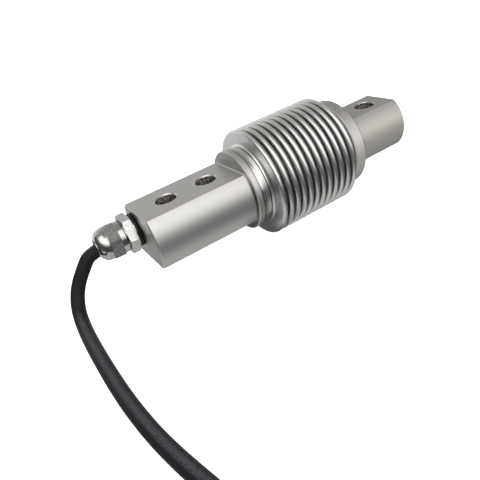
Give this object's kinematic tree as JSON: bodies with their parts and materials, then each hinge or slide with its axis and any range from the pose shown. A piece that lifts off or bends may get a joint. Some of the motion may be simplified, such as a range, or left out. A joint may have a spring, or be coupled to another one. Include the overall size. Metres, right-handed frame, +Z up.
{
  "type": "cantilever beam load cell",
  "caption": "Stainless bending-beam load cell sealed by a metal bellows, with flat clamping ends, through bolt holes, a nickel cable gland and a black signal cable.",
  "frame": {"origin": "midway between the two fixing bolt holes, on the lower clamping flat", "axes": "+X along the beam towards the load end, +Y sideways towards the gland's side, +Z up through the fixing holes"},
  "size_m": [0.1592, 0.2108, 0.045],
  "materials": {
    "blasted_stainless": "satin",
    "polished_stainless": "gloss",
    "nickel_plate": "gloss",
    "black_rubber": "matte",
    "grey_nylon": "matte",
    "gauge_film": "gloss",
    "circuit_board": "satin",
    "resistor_body": "matte",
    "red_insulation": "satin",
    "green_insulation": "satin",
    "black_insulation": "satin",
    "white_insulation": "satin",
    "potting": "satin",
    "cable_sheath": "satin",
    "tie_strap": "matte",
    "tinned_copper": "satin"
  },
  "bodies": {
    "root": {"spring_element": "blasted_stainless", "bellows": "polished_stainless", "weld_ring": "blasted_stainless", "gland_body": "nickel_plate", "gland_o_ring": "black_rubber", "gland_cap_nut": "nickel_plate", "gland_claw": "grey_nylon", "gland_seal": "black_rubber", "strain_gauge_upper_root": "gauge_film", "strain_gauge_upper_tip": "gauge_film", "strain_gauge_lower_root": "gauge_film", "strain_gauge_lower_tip": "gauge_film", "terminal_board": "circuit_board", "balance_resistor": "resistor_body", "span_resistor": "resistor_body", "lead_red": "red_insulation", "lead_green": "green_insulation", "lead_black": "black_insulation", "lead_white": "white_insulation", "channel_sealant": "potting", "cable": "cable_sheath", "cable_coil": "cable_sheath", "coil_tie": "tie_strap", "cable_tail": "cable_sheath", "core_red": "red_insulation", "core_green": "green_insulation", "core_black": "black_insulation", "core_white": "white_insulation", "core_tip_red": "tinned_copper", "core_tip_green": "tinned_copper", "core_tip_black": "tinned_copper", "core_tip_white": "tinned_copper", "cable_shield": "tinned_copper"}
  },
  "joints": []
}
